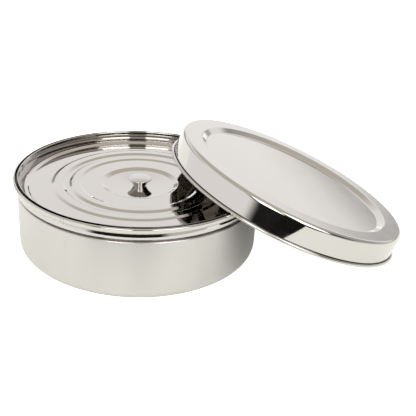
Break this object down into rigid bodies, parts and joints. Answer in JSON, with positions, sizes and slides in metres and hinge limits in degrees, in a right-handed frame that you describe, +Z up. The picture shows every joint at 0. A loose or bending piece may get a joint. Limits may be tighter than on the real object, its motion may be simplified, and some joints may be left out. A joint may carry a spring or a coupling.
{
  "type": "spice box masala dabba",
  "caption": "Round shallow steel spice box with an inner knob lid on a ledge, small round bowls and a spoon inside, and a deep outer lid leaning on its rim.",
  "frame": {"origin": "centre of the box's flat underside, on the axis of the round box", "axes": "+Z up along the box's axis; the outer lid leans over the +X side, heading 10.6 degrees from +X towards +Y"},
  "size_m": [0.3224, 0.2264, 0.0936],
  "materials": {
    "satin_steel": "satin",
    "mirror_steel": "mirror polished",
    "turned_steel": "polished",
    "bowl_steel": "satin",
    "spoon_steel": "polished"
  },
  "bodies": {
    "box": {"box_body": "satin_steel"},
    "inner_lid": {"inner_lid": "mirror_steel", "lid_knob": "turned_steel", "knob_washer": "turned_steel", "knob_screw": "turned_steel"},
    "outer_lid": {"outer_lid": "mirror_steel"},
    "spoon": {"spoon": "spoon_steel"},
    "bowl_centre": {"bowl_centre": "bowl_steel"},
    "bowl_1": {"bowl_1": "bowl_steel"},
    "bowl_2": {"bowl_2": "bowl_steel"},
    "bowl_3": {"bowl_3": "bowl_steel"},
    "bowl_4": {"bowl_4": "bowl_steel"},
    "bowl_5": {"bowl_5": "bowl_steel"},
    "bowl_6": {"bowl_6": "bowl_steel"}
  },
  "joints": [
    {"name": "outer_lid_tilt", "type": "hinge", "parent": "box", "child": "outer_lid", "pos_m": [0.21459, 0.04016, 0.00135], "axis": [-0.184, 0.9829, 0], "range_deg": [0, 65]},
    {"name": "inner_lid_lift", "type": "slide", "parent": "box", "child": "inner_lid", "axis": [0, 0, 1], "range_m": [0, 0.12]},
    {"name": "spoon_lift", "type": "slide", "parent": "box", "child": "spoon", "axis": [0, 0, 1], "range_m": [0, 0.08]},
    {"name": "bowl_centre_lift", "type": "slide", "parent": "box", "child": "bowl_centre", "axis": [0, 0, 1], "range_m": [0, 0.06]},
    {"name": "bowl_1_lift", "type": "slide", "parent": "box", "child": "bowl_1", "axis": [0, 0, 1], "range_m": [0, 0.06]},
    {"name": "bowl_2_lift", "type": "slide", "parent": "box", "child": "bowl_2", "axis": [0, 0, 1], "range_m": [0, 0.06]},
    {"name": "bowl_3_lift", "type": "slide", "parent": "box", "child": "bowl_3", "axis": [0, 0, 1], "range_m": [0, 0.06]},
    {"name": "bowl_4_lift", "type": "slide", "parent": "box", "child": "bowl_4", "axis": [0, 0, 1], "range_m": [0, 0.06]},
    {"name": "bowl_5_lift", "type": "slide", "parent": "box", "child": "bowl_5", "axis": [0, 0, 1], "range_m": [0, 0.06]},
    {"name": "bowl_6_lift", "type": "slide", "parent": "box", "child": "bowl_6", "axis": [0, 0, 1], "range_m": [0, 0.06]}
  ],
  "couplings": [
    {"joint": "inner_lid_lift", "follows": "outer_lid_tilt", "m_per_rad": 0.1},
    {"joint": "spoon_lift", "follows": "outer_lid_tilt", "m_per_rad": 0.06},
    {"joint": "bowl_centre_lift", "follows": "outer_lid_tilt", "m_per_rad": 0.045},
    {"joint": "bowl_1_lift", "follows": "outer_lid_tilt", "m_per_rad": 0.045},
    {"joint": "bowl_2_lift", "follows": "outer_lid_tilt", "m_per_rad": 0.045},
    {"joint": "bowl_3_lift", "follows": "outer_lid_tilt", "m_per_rad": 0.045},
    {"joint": "bowl_4_lift", "follows": "outer_lid_tilt", "m_per_rad": 0.045},
    {"joint": "bowl_5_lift", "follows": "outer_lid_tilt", "m_per_rad": 0.045},
    {"joint": "bowl_6_lift", "follows": "outer_lid_tilt", "m_per_rad": 0.045}
  ]
}
